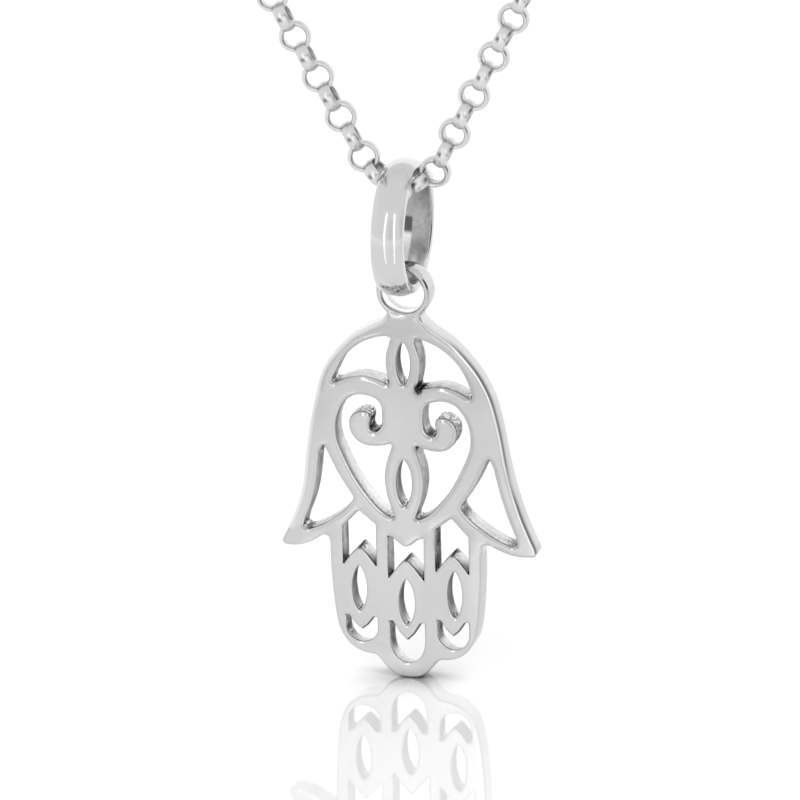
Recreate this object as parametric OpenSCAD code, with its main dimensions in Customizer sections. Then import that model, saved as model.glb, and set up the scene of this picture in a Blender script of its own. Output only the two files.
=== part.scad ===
// Hamsa pendant: a pierced silver hand hanging by its cast loop from a plain
// ring bail, on a fine round-link chain that closes at the nape.
// Millimetres, +Z up, the pendant faces -Y. The origin is the middle of the
// clasp, where the chain lies on the back of the neck.

/* [Plate] */
// Thickness of the pierced plate and of the loop on top of it
plate_t = 1.6; // [1.2:0.1:2]
// Width of the rim between the side window and the outer edge
rim_w = 0.92; // [0.8:0.02:1.05]
// Half width of the almond holes in the outer fingers
almond_w = 0.51; // [0.35:0.01:0.6]
// Half width of the crescent holes in the fingertips
crescent_w = 1.08; // [0.9:0.02:1.15]
// How far each wing spreads more to the right than to the left
wing_lean = 0.42; // [0:0.02:0.45]
// How much higher the right wing tip sits than the middle of the two
wing_rise = 0.32; // [0:0.02:0.4]

/* [Loop] */
// Radius of the hole in the loop
loop_r = 1.4; // [1.38:0.01:1.5]
// Thickness of the metal round that hole, measured in the plate's plane
loop_wall = 0.52; // [0.4:0.02:0.6]
// Half width of the neck that joins the loop to the arch
neck_w = 1.2; // [1:0.05:1.4]

/* [Bail] */
// Outer radius of the bail ring
bail_r = 4.66; // [4.4:0.02:4.8]
// Radius of the bail's hole
bail_hole_r = 3.75; // [3.7:0.02:3.9]
// Width of the bail ring
bail_w = 2.2; // [1.8:0.05:2.25]
// Turn of the bail about the upright, away from square to the plate
bail_yaw = 2.5; // [-3:0.5:3]
// Bevel round the bail's inner edges
bail_bevel = 0.3; // [0.25:0.05:0.4]

/* [Chain] */
// Diameter of the round body that the links fill
chain_d = 1.6; // [1.2:0.1:1.7]
// Diameter of the barrel clasp
clasp_d = 3.2; // [2.6:0.1:4]
// Length of the barrel clasp
clasp_l = 10; // [8:0.5:10]

/* [Hidden] */
$fn = 96;
silver = [0.84, 0.84, 0.86];

// The hanging point is the lowest point of the chain's centre line.
hang_y = -96;
hang_z = -125;
// Heights above the bottom of the middle finger, on the plate.
loop_z = 27.52;
bail_z = 32;
hang_h = 34.75;
// The plate's own centre line lies a little left of the loop.
plate_dx = -0.2;
petal_dx = 0.1;
bail_dx = -0.1;

// Names of the columns in the tables below: distance from the centre line,
// height above the middle fingertip.
X = 0;
Z = 1;

// Outer edge of the arch and wing. Columns: distance, height, share of the
// wing's lean at that height.
EDGE = [
    [8.58, 10.0, 1.0], [8.15, 11.0, 1.0], [7.76, 12.0, 0.97], [7.47, 13.0, 0.88],
    [7.25, 14.0, 0.71], [6.91, 16.0, 0.45], [6.58, 18.0, 0.45], [6.13, 20.0, 0.43],
    [5.82, 21.0, 0.29], [5.34, 22.0, 0.14], [4.58, 23.0, 0.1], [3.64, 24.0, 0.1],
    [2.97, 24.5, 0.1], [2.12, 25.0, 0.1]];
// Flank of the neck under the loop, flaring out on to the arch.
NECK = [[0.9, 26.35], [1.16, 26.1], [1.22, 25.85], [1.32, 25.6], [1.6, 25.36]];
// Underside of the wing, from beside its tip to the finger.
WING = [[8.4, 9.07], [7.7, 9.07], [7.0, 9.24], [6.4, 9.5], [5.9, 9.78], [5.6, 9.85]];
// Outer side of an outer finger, down and round to the gap between fingers.
FINGER = [
    [5.27, 9.3], [5.24, 7.6], [5.14, 6.0], [4.98, 4.4], [4.74, 3.2], [4.3, 2.35],
    [3.7, 1.8], [3.0, 1.52], [2.35, 1.46]];
// Round end of the middle finger, from that gap to its lowest point.
TIP = [[2.12, 1.36], [1.72, 0.88], [1.3, 0.4], [0.72, 0.08], [0, 0]];
// Hole on each side of the upper petal: the arch's inner edge, then the
// shoulder of the heart, then the petal's edge. The third column is the
// share of the shoulder's tilt.
CROWN = [
    [1.05, 24.33, 0], [1.55, 24.24, 0], [2.05, 24.07, 0], [2.55, 23.85, 0], [3.05, 23.53, 0],
    [3.55, 23.1, 0], [4.02, 22.55, 0], [4.37, 21.95, 0], [4.62, 21.4, 0], [4.86, 20.8, 0.8]];
SHOULDER = [
    [4.78, 20.55, 1], [4.5, 20.62, 1], [4.0, 20.87, 1], [3.4, 21.08, 1], [2.75, 21.18, 1],
    [2.1, 21.1, 1], [1.55, 20.96, 1], [1.12, 20.82, 0.6]];
PETAL_TOP = [[0.98, 20.95], [1.1, 21.5], [1.2, 22.2], [1.2, 22.75], [1.1, 23.3], [0.92, 23.85], [0.82, 24.2]];
shoulder_tilt = 0.16;
// Opening of one half of the heart, round its lobe and down to its point.
LOBE = [
    [1.43, 18.3], [1.44, 18.9], [1.55, 19.42], [1.95, 19.81], [2.8, 19.99], [3.65, 19.75],
    [4.3, 18.98], [4.66, 17.9], [4.62, 16.8], [4.3, 15.85], [3.7, 14.55], [3.0, 13.35],
    [2.0, 12.1], [1.3, 11.52], [0.85, 11.36]];
// Edge of the lower petal inside that opening, from its foot to the scroll.
PETAL_SIDE = [[0.74, 11.55], [0.98, 12.15], [1.2, 12.85], [1.34, 13.7], [1.35, 14.4], [1.24, 15.1], [1.02, 15.85], [0.8, 16.5]];
// Edge of the scroll, from its underside round its end to the eye.
SCROLL = [
    [0.92, 16.63], [1.4, 16.48], [2.2, 16.36], [2.9, 16.48], [3.45, 16.9], [3.73, 17.55],
    [3.68, 18.25], [3.25, 18.66], [2.75, 18.8], [2.35, 18.66], [2.23, 18.3], [2.32, 17.86],
    [2.22, 17.5], [1.97, 17.4], [1.66, 17.6], [1.47, 17.95]];
// Side window: its inner edge beside the heart, then its lower edge.
WINDOW_IN = [[5.78, 16.15], [5.62, 15.95], [5.17, 15.0], [4.83, 14.3], [4.28, 13.4], [3.95, 12.9], [3.76, 12.6]];
WINDOW_LOW = [[3.8, 12.4], [4.1, 11.95], [4.6, 11.43], [5.2, 10.98], [5.9, 10.52], [6.6, 10.18], [7.1, 10.0]];

// Finger openings. Columns: distance of the middle line, half width, height
// of the outer top corner, of the inner top corner, of the top point, of the
// bottom corners and of the bottom point.
SIDE_GATE = [3.22, 1.16, 10.42, 10.75, 11.66, 7.72, 9.1];
MID_GATE = [0, 1.24, 10.03, 10.03, 9.38, 6.98, 8.47];
// Almond holes. Columns: distance of the middle line, bottom, top, half width.
ALMONDS = [
    [-3.28, 4.46, 7.72, almond_w], [3.36, 4.52, 7.9, almond_w],
    [0, 3.68, 7.02, 0.55], [0, 12.28, 15.55, 0.53]];
PETAL_HOLE = [0.02, 20.98, 23.98, 0.48];
// Crescent holes. Columns: distance of the middle line, half width, height of
// the horns, of the point between them and of the bottom.
CRESCENTS = [
    [-3.16, crescent_w, 4.1, 3.15, 2.28], [3.2, crescent_w, 4.28, 3.2, 2.25],
    [0, 1.2, 3.93, 2.63, 1.03]];

// Right half of the chain's centre line, from the bottom of the hang to the
// clasp, measured from the nape. Columns: right, forward and up.
HANG_BEND = [
    [0, -96, -125], [0.68, -96, -125], [1.18, -96, -124.91], [1.62, -96, -124.65], [1.95, -96, -124.25]];
STRAND_R = [
    [4.9, -96, -118.3], [8.2, -96, -111.7], [14.2, -96, -99.8], [21, -96, -86], [28.8, -95.2, -71]];
STRAND_L = [
    [5.3, -96, -118.3], [9, -96, -111.7], [15.5, -96, -99.8], [23.2, -96, -86], [30.8, -95.2, -71]];
SHOULDER_RUN = [
    [36.6, -92.4, -58], [43.2, -87, -46], [48.6, -79, -35.4], [52.4, -68.4, -26.4],
    [54, -56.4, -18.8], [53, -44, -12.6], [49.6, -32.4, -8], [43.8, -22.2, -4.6],
    [36, -13.6, -2.4], [26, -6.6, -1], [15.6, -2, -0.2], [5.05, 0, 0]];
// Rings of the tube in each step between two points of the route.
steps_bend = 1;
steps_run = 2;

// Points on a smooth curve through the rows of a table, n for each step.
function knot(p, i) = p[max(0, min(len(p) - 1, i))];
function curve_at(a, b, c, d, t) =
    0.5 * (2 * b + t * (c - a) + t * t * (2 * a - 5 * b + 4 * c - d) + t * t * t * (3 * b - a - 3 * c + d));
function smooth(p, n) = concat(
    [for (i = [0 : len(p) - 2], k = [0 : n - 1])
        curve_at(knot(p, i - 1), knot(p, i), knot(p, i + 1), knot(p, i + 2), k / n)],
    [p[len(p) - 1]]);
function backwards(p) = [for (i = [len(p) - 1 : -1 : 0]) p[i]];
function flat(p, side) = [for (q = p) [side * q[X], q[Z]]];

// One half of the outline, from the arch's top to the lowest fingertip.
function wing_shift(share, side) = side * wing_lean * share;
function edge_side(side) = [for (q = smooth(EDGE, 2)) [q[X] + wing_shift(q[2], side), q[Z]]];
function wing_tip(side) = [
    [8.8 + side * 0.24, 9.5 + side * wing_rise],
    [8.85 + side * 0.24, 9.3 + side * wing_rise],
    [8.76 + side * 0.24, 9.12 + side * wing_rise]];
function wing_under(side) = [for (q = smooth(WING, 2))
    let (share = (q[X] - 5.6) / 2.8)
    [q[X] + side * 0.3 * share, q[Z] + side * (0.15 + (wing_rise - 0.15) * share)]];
function half_outline(side) = flat(concat(
    [for (q = smooth(NECK, 2)) [q[X] - 1.2 + neck_w - side * plate_dx, q[Z]]],
    backwards(edge_side(side)), wing_tip(side), wing_under(side),
    [[5.38, 9.74 + side * 0.15]],
    smooth(FINGER, 2), smooth(TIP, 2)), side);
function outline() = concat(half_outline(1), backwards(half_outline(-1)));

// Hole between the arch and the heart's shoulder.
function crown_hole(side) = flat([for (q = concat(smooth(CROWN, 1), smooth(SHOULDER, 1)))
    [q[X], q[Z] - side * shoulder_tilt * q[2]]], side);
function petal_edge(side) = [for (q = smooth(PETAL_TOP, 1)) [side * q[X] + petal_dx, q[Z]]];
function heart_hole(side) = flat(concat(
    smooth(LOBE, 2), smooth(PETAL_SIDE, 1), smooth(SCROLL, 2)), side);
// The window's outer edge keeps the rim's width inside the outer edge.
function window_hole(side) = flat(concat(
    [for (q = backwards(smooth(EDGE, 2))) if (q[Z] < 15.9 && q[Z] > 10.6)
        [q[X] - rim_w + wing_shift(q[2], side) * 0.85, q[Z]]],
    [[7.45 + side * 0.35, 10.2]],
    [for (q = backwards(smooth(WINDOW_LOW, 1)))
        [q[X] + side * (0.18 + 0.17 * (q[X] - 3.8) / 3.3), q[Z]]],
    [for (q = backwards(smooth(WINDOW_IN, 1))) [q[X] + side * 0.18, q[Z]]]), side);

// Pointed oval between two heights.
function almond(c, low, high, w, n = 8) =
    let (mid = (low + high) / 2, half = (high - low) / 2)
    concat(
        [for (i = [0 : n]) let (t = -1 + 2 * i / n) [c + w * (1 - t * t), mid + half * t]],
        [for (i = [1 : n - 1]) let (t = 1 - 2 * i / n) [c - w * (1 - t * t), mid + half * t]]);
// Upright opening over a finger: pointed above, with a pointed sill.
function gate(g, side) =
    let (c = g[0], w = g[1])
    [[side * (c + w), g[2]], [side * c, g[4]], [side * (c - w), g[3]],
     [side * (c - w), g[5]], [side * (c - w * 0.52), (g[5] * 0.45 + g[6] * 0.55)], [side * c, g[6]],
     [side * (c + w * 0.52), (g[5] * 0.45 + g[6] * 0.55)], [side * (c + w), g[5]]];
// The middle opening has a curved tab hanging into it.
function mid_gate(g) =
    let (w = g[1])
    [[w, g[2]], [w * 0.72, g[2] - 0.08], [w * 0.4, (g[2] + g[4]) / 2 - 0.1], [w * 0.12, g[4]],
     [-w * 0.12, g[4]], [-w * 0.4, (g[2] + g[4]) / 2 - 0.1], [-w * 0.72, g[2] - 0.08], [-w, g[2]],
     [-w, g[5]], [-w * 0.52, g[5] * 0.45 + g[6] * 0.55], [0, g[6]],
     [w * 0.52, g[5] * 0.45 + g[6] * 0.55], [w, g[5]]];
// Fingertip hole: a half oval below, a hanging point between two horns above.
function crescent(q, n = 12) =
    let (c = q[0], w = q[1], horn = q[2], dip = q[3], low = q[4], belt = low + (horn - low) * 0.55)
    concat(
        [[c + w, horn]],
        [for (i = [0 : n]) let (a = 180 * i / n) [c + w * cos(a), belt - (belt - low) * sin(a)]],
        [[c - w, horn], [c - w * 0.84, horn + 0.02], [c - w * 0.42, dip + (horn - dip) * 0.38], [c, dip],
         [c + w * 0.42, dip + (horn - dip) * 0.38], [c + w * 0.84, horn + 0.02]]);

// The pierced plate in its own plane, before it is thickened.
module plate_shape() {
    difference() {
        translate([plate_dx, 0]) polygon(outline());
        translate([plate_dx, 0]) {
            for (side = [-1, 1]) {
                polygon(concat(crown_hole(side), petal_edge(side)));
                polygon(heart_hole(side));
                polygon(window_hole(side));
                polygon(gate(SIDE_GATE, side));
            }
            polygon(mid_gate(MID_GATE));
            for (a = ALMONDS) polygon(almond(a[0], a[1], a[2], a[3]));
            translate([petal_dx, 0]) polygon(almond(PETAL_HOLE[0], PETAL_HOLE[1], PETAL_HOLE[2], PETAL_HOLE[3]));
            for (q = CRESCENTS) polygon(crescent(q));
        }
    }
}

// Pierced plate with its cast loop, one piece of metal.
module hamsa() {
    color(silver)
    translate([0, hang_y + plate_t / 2, hang_z - hang_h])
    rotate([90, 0, 0])
    difference() {
        union() {
            linear_extrude(height = plate_t) plate_shape();
            translate([0, loop_z, 0]) cylinder(r = loop_r + loop_wall, h = plate_t);
        }
        translate([0, loop_z, -1]) cylinder(r = loop_r, h = plate_t + 2);
    }
}

// Half section of the bail ring: flat inside with bevelled edges, domed
// outside with two shallow ridges. Columns: radius, place across the width.
function bail_profile() =
    let (w = bail_w / 2, side_r = bail_r - 0.22)
    concat(
        [[bail_hole_r, -w + bail_bevel], [bail_hole_r + bail_bevel, -w], [side_r, -w]],
        [for (i = [1 : 7]) let (t = -1 + i / 4)
            [side_r + (bail_r - side_r) * sqrt(1 - t * t * 0.96), t * w]],
        [[side_r, w], [bail_hole_r + bail_bevel, w], [bail_hole_r, w - bail_bevel]]);

// Ring bail: the chain runs through its top, the pendant's loop through its
// bottom.
module bail() {
    color(silver)
    translate([bail_dx, hang_y, hang_z - hang_h + bail_z])
    rotate([0, 90, bail_yaw])
    rotate_extrude() polygon(bail_profile());
}

// The chain's centre line from the clasp's left end round to its right end.
function mirrored(p) = [for (q = p) [-q[0], q[1], q[2]]];
ROUTE_SIDE_R = concat(smooth(HANG_BEND, steps_bend), smooth(concat([HANG_BEND[4]], STRAND_R, SHOULDER_RUN), steps_run));
ROUTE_SIDE_L = concat(smooth(HANG_BEND, steps_bend), smooth(concat([HANG_BEND[4]], STRAND_L, SHOULDER_RUN), steps_run));
function without_twins(p) = [for (i = [0 : len(p) - 1]) if (i == 0 || norm(p[i] - p[max(0, i - 1)]) > 0.01) p[i]];
function chain_route() = without_twins(concat(backwards(mirrored(ROUTE_SIDE_L)), ROUTE_SIDE_R));

// A tube swept along a route: one ring of points at each place, square to
// the route, its first corner turned to keep the rings in step.
function unit(v) = v / norm(v);
function along(p, i) = unit(p[min(len(p) - 1, i + 1)] - p[max(0, i - 1)]);
function ring(c, dir, r, sides) =
    let (out = unit(cross(dir, [0.02, 1, 0.9])), up = cross(out, dir))
    [for (k = [0 : sides - 1]) let (a = 360 * (k + 0.5) / sides) c + r * (out * cos(a) + up * sin(a))];
module tube(p, r, sides = 8) {
    n = len(p);
    points = [for (i = [0 : n - 1]) each ring(p[i], along(p, i), r, sides)];
    walls = [for (i = [0 : n - 2], k = [0 : sides - 1])
        let (a = i * sides + k, b = i * sides + (k + 1) % sides) [a, b, b + sides, a + sides]];
    first = [[for (k = [sides - 1 : -1 : 0]) k]];
    last = [[for (k = [0 : sides - 1]) (n - 1) * sides + k]];
    polyhedron(points = points, faces = concat(walls, first, last), convexity = 6);
}

// Fine round-link chain, drawn as the round body that its links fill.
module chain() {
    color([0.78, 0.78, 0.8]) tube(chain_route(), chain_d / 2);
}

// Plain barrel clasp at the nape, with a turned groove near each end.
module clasp() {
    r = clasp_d / 2;
    h = clasp_l / 2;
    color(silver)
    rotate([0, 90, 0])
    rotate_extrude() polygon([
        [0, -h], [r - 0.6, -h], [r - 0.15, -h + 0.35], [r, -h + 0.8], [r, -h + 1.8],
        [r - 0.2, -h + 2], [r, -h + 2.2], [r, h - 2.2], [r - 0.2, h - 2], [r, h - 1.8],
        [r, h - 0.8], [r - 0.15, h - 0.35], [r - 0.6, h], [0, h]]);
}

hamsa();
bail();
chain();
clasp();
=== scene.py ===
"""Looks of the hamsa pendant: the pierced plate with softened edges, the domed
ring bail, the round-link chain made link by link, the barrel clasp, and a pale
studio. Lengths in the tables are millimetres in the part's own frame."""
import math

import bpy
import numpy as np
from mathutils import Matrix, Vector, geometry, kdtree


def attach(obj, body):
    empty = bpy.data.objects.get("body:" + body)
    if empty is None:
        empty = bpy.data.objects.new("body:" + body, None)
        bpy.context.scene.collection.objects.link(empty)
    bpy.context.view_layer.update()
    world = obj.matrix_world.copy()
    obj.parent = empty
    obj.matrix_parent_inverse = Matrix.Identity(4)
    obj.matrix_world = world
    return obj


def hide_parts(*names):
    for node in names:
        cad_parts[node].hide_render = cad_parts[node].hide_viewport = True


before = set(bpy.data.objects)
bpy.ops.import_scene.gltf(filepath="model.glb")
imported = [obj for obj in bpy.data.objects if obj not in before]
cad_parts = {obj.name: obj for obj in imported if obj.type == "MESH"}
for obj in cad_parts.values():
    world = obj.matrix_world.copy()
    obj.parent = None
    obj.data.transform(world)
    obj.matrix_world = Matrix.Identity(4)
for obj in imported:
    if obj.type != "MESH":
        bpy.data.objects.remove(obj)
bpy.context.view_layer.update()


MM = 0.001
scene = bpy.context.scene

# Heights and places that the whole scene shares.
HANG_Y, HANG_Z, HANG_H = -96.0, -125.0, 34.75
PLATE_T = 1.6
FRONT_Y = HANG_Y - PLATE_T / 2
FLOOR_Z = HANG_Z - HANG_H - 0.03
LOOP_Z, LOOP_R, LOOP_WALL = 27.52, 1.4, 0.52
PLATE_DX, PETAL_DX = -0.2, 0.1

# ---------------------------------------------------------------- camera
CAM_RIGHT = Vector((0.95629, 0.29153, -0.02257)).normalized()
CAM_UP = Vector((-0.08702, 0.35743, 0.92988))
CAM_UP = (CAM_UP - CAM_RIGHT * CAM_UP.dot(CAM_RIGHT)).normalized()
CAM_BACK = CAM_RIGHT.cross(CAM_UP).normalized()
CAM_AIM = Vector((-0.3172, -96.8, -139.8503)) * MM
CAM_DIST = 2.0
PX_PER_MM = 15.034


def add_camera():
    data = bpy.data.cameras.new("camera")
    data.sensor_width = 36.0
    data.lens = 36.0 * CAM_DIST / (800 / PX_PER_MM * MM)
    data.clip_start, data.clip_end = 0.01, 50.0
    cam = bpy.data.objects.new("camera", data)
    scene.collection.objects.link(cam)
    m = Matrix((CAM_RIGHT, CAM_UP, CAM_BACK)).transposed().to_4x4()
    m.translation = CAM_AIM + CAM_BACK * CAM_DIST
    cam.matrix_world = m
    scene.camera = cam


add_camera()


# ---------------------------------------------------------------- mesh help
def add_mesh(name, verts_mm, faces, normals=None, material_index=None, materials=()):
    """A mesh object from points in millimetres and a list of faces."""
    me = bpy.data.meshes.new(name)
    me.from_pydata([tuple(v) for v in np.asarray(verts_mm, float) * MM], [], [tuple(int(i) for i in f) for f in faces])
    for m in materials:
        me.materials.append(m)
    if material_index is not None:
        me.polygons.foreach_set("material_index", np.asarray(material_index, np.int32))
    me.polygons.foreach_set("use_smooth", np.ones(len(me.polygons), bool))
    me.validate(clean_customdata=False)
    me.update()
    if normals is not None:
        me.normals_split_custom_set_from_vertices([tuple(n) for n in normals])
    ob = bpy.data.objects.new(name, me)
    scene.collection.objects.link(ob)
    return ob


def point_attribute(ob, name, values):
    a = ob.data.attributes.new(name, "FLOAT", "POINT")
    a.data.foreach_set("value", np.asarray(values, np.float32))


def unit_rows(a):
    return a / np.maximum(np.linalg.norm(a, axis=1, keepdims=True), 1e-12)


# ---------------------------------------------------------------- curves
def smooth_rows(rows, n):
    """Points on a smooth curve through the rows, n for each step."""
    p = np.asarray(rows, float)
    last = len(p) - 1
    out = []
    for i in range(last):
        a, b, c, d = p[max(0, i - 1)], p[i], p[i + 1], p[min(last, i + 2)]
        for k in range(n):
            t = k / n
            out.append(0.5 * (2 * b + t * (c - a) + t * t * (2 * a - 5 * b + 4 * c - d) + t ** 3 * (3 * b - a - 3 * c + d)))
    out.append(p[last])
    return np.array(out)


def resample_closed(p, step):
    q = np.vstack([p, p[:1]])
    seg = np.linalg.norm(np.diff(q, axis=0), axis=1)
    keep = np.concatenate([[True], seg > 1e-9])
    q = q[keep]
    seg = seg[seg > 1e-9]
    s = np.concatenate([[0], np.cumsum(seg)])
    n = max(12, int(round(s[-1] / step)))
    t = np.linspace(0, s[-1], n, endpoint=False)
    return np.column_stack([np.interp(t, s, q[:, k]) for k in range(q.shape[1])])


def soften(p, sigma, step):
    """The closed outline with its corners rounded over about sigma, at an even step."""
    fine = 0.02
    q = resample_closed(p, fine)
    n = len(q)
    f = np.fft.fftfreq(n, d=fine)
    g = np.exp(-0.5 * (2 * math.pi * f * sigma) ** 2)
    r = np.column_stack([np.fft.ifft(np.fft.fft(q[:, k]) * g).real for k in (0, 1)])
    return resample_closed(r, step)


def area2(p):
    x, y = p[:, 0], p[:, 1]
    return float(np.sum(x * np.roll(y, -1) - y * np.roll(x, -1)))


# ---------------------------------------------------------------- the plate's outlines
# Columns: distance from the centre line, height, share of the lean.
EDGE = [
    [8.58, 10.0, 1.0], [8.15, 11.0, 1.0], [7.76, 12.0, 0.97], [7.47, 13.0, 0.88],
    [7.25, 14.0, 0.71], [6.91, 16.0, 0.45], [6.58, 18.0, 0.45], [6.13, 20.0, 0.43],
    [5.82, 21.0, 0.29], [5.34, 22.0, 0.14], [4.58, 23.0, 0.1], [3.64, 24.0, 0.1],
    [2.97, 24.5, 0.1], [2.12, 25.0, 0.1]]
NECK = [[1.182, 26.007], [1.22, 25.85], [1.32, 25.6], [1.6, 25.36]]
WING = [[8.4, 9.07], [7.7, 9.07], [7.0, 9.24], [6.4, 9.5], [5.9, 9.78], [5.6, 9.85]]
FINGER = [
    [5.27, 9.3], [5.24, 7.6], [5.14, 6.0], [4.98, 4.4], [4.74, 3.2], [4.3, 2.35],
    [3.7, 1.8], [3.0, 1.52], [2.35, 1.46]]
TIP = [[2.12, 1.36], [1.72, 0.88], [1.3, 0.4], [0.72, 0.08], [0, 0]]
CROWN = [
    [1.05, 24.33, 0], [1.55, 24.24, 0], [2.05, 24.07, 0], [2.55, 23.85, 0], [3.05, 23.53, 0],
    [3.55, 23.1, 0], [4.02, 22.55, 0], [4.37, 21.95, 0], [4.62, 21.4, 0], [4.86, 20.8, 0.8]]
SHOULDER = [
    [4.78, 20.55, 1], [4.5, 20.62, 1], [4.0, 20.87, 1], [3.4, 21.08, 1], [2.75, 21.18, 1],
    [2.1, 21.1, 1], [1.55, 20.96, 1], [1.12, 20.82, 0.6]]
PETAL_TOP = [[0.98, 20.95], [1.1, 21.5], [1.2, 22.2], [1.2, 22.75], [1.1, 23.3], [0.92, 23.85], [0.82, 24.2]]
SHOULDER_TILT = 0.16
LOBE = [
    [1.43, 18.3], [1.44, 18.9], [1.55, 19.42], [1.95, 19.81], [2.8, 19.99], [3.65, 19.75],
    [4.3, 18.98], [4.66, 17.9], [4.62, 16.8], [4.3, 15.85], [3.7, 14.55], [3.0, 13.35],
    [2.0, 12.1], [1.3, 11.52], [0.85, 11.36]]
PETAL_SIDE = [[0.74, 11.55], [0.98, 12.15], [1.2, 12.85], [1.34, 13.7], [1.35, 14.4], [1.24, 15.1], [1.02, 15.85], [0.8, 16.5]]
SCROLL = [
    [0.92, 16.63], [1.4, 16.48], [2.2, 16.36], [2.9, 16.48], [3.45, 16.9], [3.73, 17.55],
    [3.68, 18.25], [3.25, 18.66], [2.75, 18.8], [2.35, 18.66], [2.23, 18.3], [2.32, 17.86],
    [2.22, 17.5], [1.97, 17.4], [1.66, 17.6], [1.47, 17.95]]
WINDOW_IN = [[5.78, 16.15], [5.62, 15.95], [5.17, 15.0], [4.83, 14.3], [4.28, 13.4], [3.95, 12.9], [3.76, 12.6]]
WINDOW_LOW = [[3.8, 12.4], [4.1, 11.95], [4.6, 11.43], [5.2, 10.98], [5.9, 10.52], [6.6, 10.18], [7.1, 10.0]]
SIDE_GATE = [3.22, 1.16, 10.42, 10.75, 11.66, 7.72, 9.1]
MID_GATE = [0, 1.24, 10.03, 10.03, 9.38, 6.98, 8.47]
ALMONDS = [[-3.28, 4.46, 7.72, 0.51], [3.36, 4.52, 7.9, 0.51], [0, 3.68, 7.02, 0.55], [0, 12.28, 15.55, 0.53]]
PETAL_HOLE = [0.02, 20.98, 23.98, 0.48]
CRESCENTS = [[-3.16, 1.08, 4.1, 3.15, 2.28], [3.2, 1.08, 4.28, 3.2, 2.25], [0, 1.2, 3.93, 2.63, 1.03]]
RIM_W, WING_LEAN, WING_RISE = 0.92, 0.42, 0.32
# Painted dark spots, painted shade and dark reflections in the corners and junctions of the hole walls: place, height,
# radius, strength.
PAINTED_DARK_SPOTS = [
    [1.04, 20.84, 0.31, 1.00], [-2.34, 17.65, 0.34, 1.00], [-2.46, 18.21, 0.28, 0.90], [1.63, 17.53, 0.28, 0.90],
    [-4.86, 20.56, 0.14, 0.60], [-5.88, 15.75, 0.30, 0.75], [4.04, 12.29, 0.34, 0.80], [-7.05, 9.98, 0.22, 0.80],
    [7.16, 9.90, 0.30, 0.60], [-4.56, 7.68, 0.20, 0.90], [-2.57, 7.47, 0.20, 0.90], [-1.38, 6.83, 0.20, 0.80],
    [0.68, 6.56, 0.20, 0.90], [1.84, 7.57, 0.20, 0.90], [3.91, 7.44, 0.20, 0.90], [1.93, 9.83, 0.50, 0.55],
    [1.90, 8.40, 0.50, 0.45], [-1.45, 8.08, 0.50, 0.20], [-4.53, 3.10, 0.30, 0.80], [-4.30, 2.37, 0.25, 0.50],
    [-1.36, 2.93, 0.35, 0.45], [1.99, 3.40, 0.35, 0.40], [0.62, 16.44, 0.22, 0.90], [-0.15, 23.34, 0.20, 0.70],
    [-1.78, 20.78, 0.12, 0.60], [4.73, 20.08, 0.20, 0.40], [-0.31, 12.12, 0.20, 0.50], [-1.52, 11.22, 0.20, 0.50],
    [-3.49, 4.16, 0.15, 0.50], [-0.31, 3.39, 0.15, 0.50], [3.12, 4.22, 0.15, 0.60], [-0.12, 13.04, 0.30, 0.30],
    [-3.40, 9.08, 0.20, 0.90], [-0.18, 8.45, 0.20, 0.90], [3.04, 9.08, 0.20, 0.90]]


def side_of(rows, side):
    q = np.array([[side * r[0], r[1]] for r in rows], float)
    return q


def edge_side(side):
    return [[q[0] + side * WING_LEAN * q[2], q[1]] for q in smooth_rows(EDGE, 5)]


def half_outline(side):
    neck = [[q[0] - side * PLATE_DX, q[1]] for q in smooth_rows(NECK, 3)]
    tip = [[8.8 + side * 0.24, 9.5 + side * WING_RISE], [8.85 + side * 0.24, 9.3 + side * WING_RISE],
           [8.76 + side * 0.24, 9.12 + side * WING_RISE]]
    under = []
    for q in smooth_rows(WING, 4):
        share = (q[0] - 5.6) / 2.8
        under.append([q[0] + side * 0.3 * share, q[1] + side * (0.15 + (WING_RISE - 0.15) * share)])
    rows = neck + edge_side(side)[::-1] + tip + under + [[5.38, 9.74 + side * 0.15]]
    rows += smooth_rows(FINGER, 4).tolist() + smooth_rows(TIP, 4).tolist()
    return side_of(rows, side)


def outline():
    right, left = half_outline(1), half_outline(-1)
    a0 = math.atan2(26.007 - LOOP_Z, 1.182)
    arc = []
    for i in range(1, 48):
        a = (math.pi - a0) + (2 * a0 - math.pi) * i / 48
        arc.append([(LOOP_R + LOOP_WALL) * math.cos(a) - PLATE_DX, LOOP_Z + (LOOP_R + LOOP_WALL) * math.sin(a)])
    return np.vstack([right, left[::-1][1:], np.array(arc)])


def crown_hole(side):
    rows = [[q[0], q[1] - side * SHOULDER_TILT * q[2]] for q in np.vstack([smooth_rows(CROWN, 4), smooth_rows(SHOULDER, 4)])]
    petal = [[side * q[0] + PETAL_DX, q[1]] for q in smooth_rows(PETAL_TOP, 4)]
    return np.vstack([side_of(rows, side), np.array(petal)])


def heart_hole(side):
    return side_of(np.vstack([smooth_rows(LOBE, 5), smooth_rows(PETAL_SIDE, 4), smooth_rows(SCROLL, 5)]), side)


def window_hole(side):
    rows = [[q[0] - RIM_W + side * WING_LEAN * q[2] * 0.85, q[1]] for q in smooth_rows(EDGE, 5)[::-1] if 10.6 < q[1] < 15.9]
    rows.append([7.45 + side * 0.35, 10.2])
    rows += [[q[0] + side * (0.18 + 0.17 * (q[0] - 3.8) / 3.3), q[1]] for q in smooth_rows(WINDOW_LOW, 4)[::-1]]
    rows += [[q[0] + side * 0.18, q[1]] for q in smooth_rows(WINDOW_IN, 4)[::-1]]
    return side_of(rows, side)


def almond(c, low, high, w, n=24):
    mid, half = (low + high) / 2, (high - low) / 2
    # two arcs that meet a little bluntly at each end
    wide = [[w * max(0.0, 1 - t * t) ** 0.72, mid + half * t] for t in np.sin(np.linspace(-1, 1, n) * math.pi / 2)]
    up = [[c + q[0], q[1]] for q in wide]
    down = [[c - q[0], q[1]] for q in wide[::-1][1:-1]]
    return np.array(up + down)


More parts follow.
